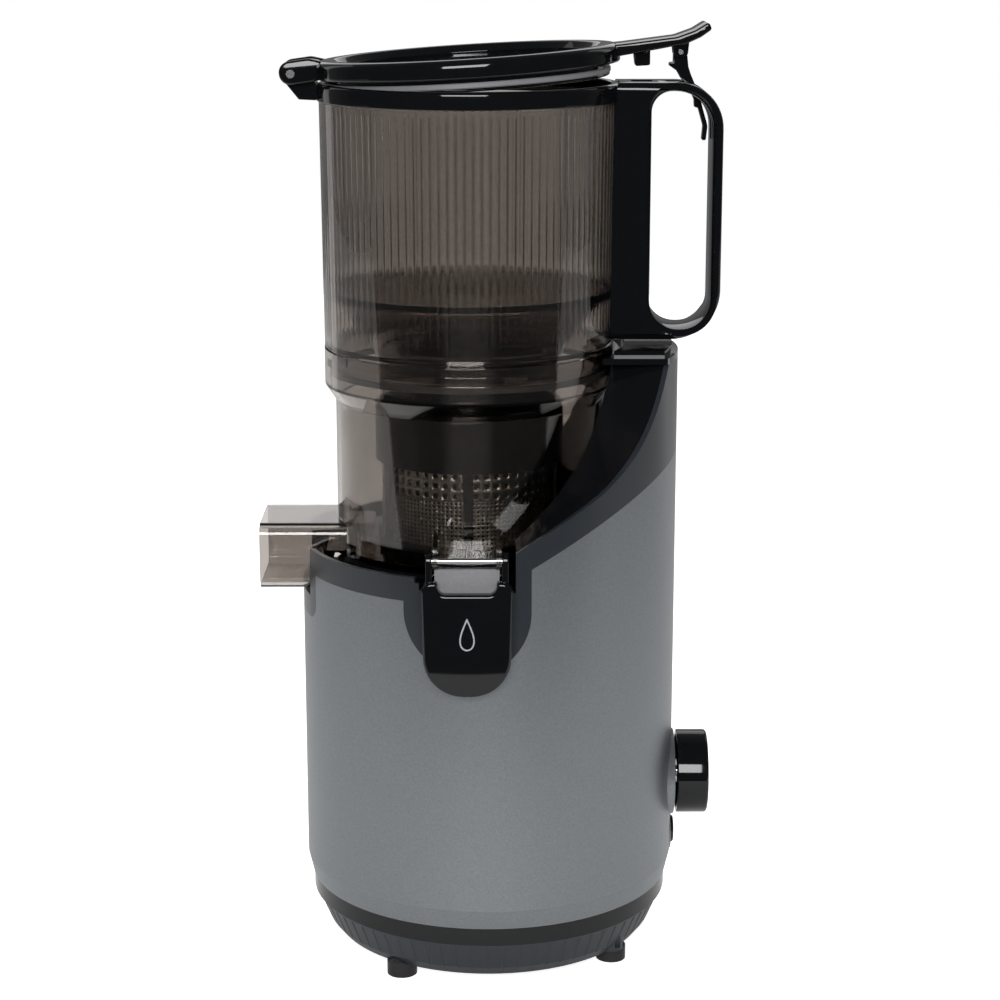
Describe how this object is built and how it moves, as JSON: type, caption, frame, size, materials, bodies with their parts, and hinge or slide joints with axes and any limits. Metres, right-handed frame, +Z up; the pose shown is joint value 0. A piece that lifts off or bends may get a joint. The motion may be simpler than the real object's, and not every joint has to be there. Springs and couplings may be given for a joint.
{
  "type": "cold press juicer",
  "caption": "Upright cold press juicer with a smoky hopper, hinged lid, strainer bowl, auger drive and juice spout.",
  "frame": {"origin": "middle of the round body, on the surface that the four feet stand on", "axes": "+Z up, +X to the side with the knob and the handle, -Y to the front with the juice spout"},
  "size_m": [0.2278, 0.2084, 0.4688],
  "materials": {
    "shell_paint": "fine metallic grey paint, satin",
    "trim_satin": "satin blue-black moulding",
    "gloss_black": "polished black moulding",
    "pan_plastic": "satin dark grey moulding",
    "smoke_clear": "clear smoke-tinted copolyester",
    "inner_plastic": "dark food-grade moulding",
    "pale_plastic": "natural nylon",
    "rubber": "black rubber",
    "silicone": "grey silicone",
    "steel": "bright steel",
    "bearing_steel": "ground steel",
    "lamination": "stacked electrical steel",
    "board_green": "coated circuit board",
    "brass": "turned brass"
  },
  "bodies": {
    "base": {"base_shell": "shell_paint", "trim_band": "trim_satin", "saddle_cover": "gloss_black", "neck_cap": "gloss_black", "lower_ring": "gloss_black", "base_pan": "pan_plastic", "foot_pads": "rubber", "base_screws": "steel", "motor_can": "steel", "stator_core": "lamination", "motor_bearings": "bearing_steel", "gear_pin": "bearing_steel", "motor_mounts": "rubber", "gearbox_screws": "steel", "gearbox_lower": "inner_plastic", "gearbox_upper": "inner_plastic", "output_bearings": "bearing_steel", "shaft_seal": "silicone", "rotary_switch": "inner_plastic", "button_spring": "steel", "button_switch": "inner_plastic", "control_board": "board_green", "reed_sensor": "inner_plastic", "cord_gland": "rubber"},
    "motor_spindle": {"motor_rotor": "lamination", "motor_fan": "inner_plastic", "motor_pinion": "brass"},
    "middle_gear": {"compound_gear": "pale_plastic"},
    "drive": {"output_gear": "pale_plastic", "drive_shaft": "steel"},
    "knob": {"control_knob": "gloss_black", "switch_spindle": "steel"},
    "button": {"start_button": "gloss_black"},
    "bowl": {"juice_bowl": "smoke_clear", "pulp_plug": "silicone", "bowl_ring": "gloss_black", "bowl_seal": "silicone", "collar_gasket": "silicone", "strainer_basket": "steel", "strainer_frame": "inner_plastic", "cap_pin": "steel"},
    "screw": {"auger": "inner_plastic", "auger_socket": "steel"},
    "flap": {"spout_cap": "gloss_black", "cap_stopper": "silicone"},
    "hopper": {"hopper_wall": "smoke_clear", "hopper_funnel": "inner_plastic", "hopper_rim": "gloss_black", "hopper_handle": "gloss_black", "hinge_bracket": "gloss_black", "hinge_pin": "steel", "rod_spring": "steel"},
    "interlock": {"push_rod": "inner_plastic", "rod_magnet": "steel"},
    "lid": {"lid_ring": "gloss_black", "lid_window": "smoke_clear", "lid_gasket": "silicone", "latch_pin": "steel", "latch_spring": "steel"},
    "latch": {"lid_latch": "gloss_black"}
  },
  "joints": [
    {"name": "motor_spin", "type": "hinge", "parent": "base", "child": "motor_spindle", "pos_m": [0.0007, 0, 0.08], "axis": [0, 0, 1], "continuous": true},
    {"name": "middle_gear_spin", "type": "hinge", "parent": "base", "child": "middle_gear", "pos_m": [0.0427, 0, 0.15], "axis": [0, 0, 1], "continuous": true},
    {"name": "drive_spin", "type": "hinge", "parent": "base", "child": "drive", "pos_m": [-0.0098, 0, 0.16], "axis": [0, 0, 1], "continuous": true},
    {"name": "knob_turn", "type": "hinge", "parent": "base", "child": "knob", "pos_m": [0.0972, 0, 0.085], "axis": [1, 0, 0], "range_deg": [-60, 60]},
    {"name": "start_button_press", "type": "slide", "parent": "base", "child": "button", "axis": [-1, 0, 0], "range_m": [0, 0.002], "stiffness_N_per_m": 900},
    {"name": "bowl_lift", "type": "slide", "parent": "base", "child": "bowl", "axis": [0, 0, 1], "range_m": [0, 0.15]},
    {"name": "auger_spin", "type": "hinge", "parent": "bowl", "child": "screw", "pos_m": [-0.0098, 0, 0.26], "axis": [0, 0, 1], "continuous": true},
    {"name": "spout_cap_swing", "type": "hinge", "parent": "bowl", "child": "flap", "pos_m": [-0.0098, -0.0974, 0.22375], "axis": [-1, 0, 0], "range_deg": [0, 95]},
    {"name": "hopper_twist", "type": "hinge", "parent": "bowl", "child": "hopper", "pos_m": [-0.0098, 0, 0.31], "axis": [0, 0, 1], "range_deg": [0, 28]},
    {"name": "interlock_press", "type": "slide", "parent": "hopper", "child": "interlock", "axis": [0, 0, -1], "range_m": [0, 0.003], "stiffness_N_per_m": 120, "springref_m": -0.001},
    {"name": "lid_hinge", "type": "hinge", "parent": "hopper", "child": "lid", "pos_m": [-0.0954, 0, 0.444], "axis": [0, -1, 0], "range_deg": [-3.5, 95]},
    {"name": "latch_swing", "type": "hinge", "parent": "lid", "child": "latch", "pos_m": [0.093, 0, 0.4542], "axis": [0, 1, 0], "range_deg": [0, 6], "stiffness_Nm_per_rad": 0.2}
  ],
  "couplings": [
    {"joint": "middle_gear_spin", "follows": "motor_spin", "ratio": -0.2},
    {"joint": "drive_spin", "follows": "motor_spin", "ratio": 0.04},
    {"joint": "auger_spin", "follows": "motor_spin", "ratio": 0.04}
  ]
}
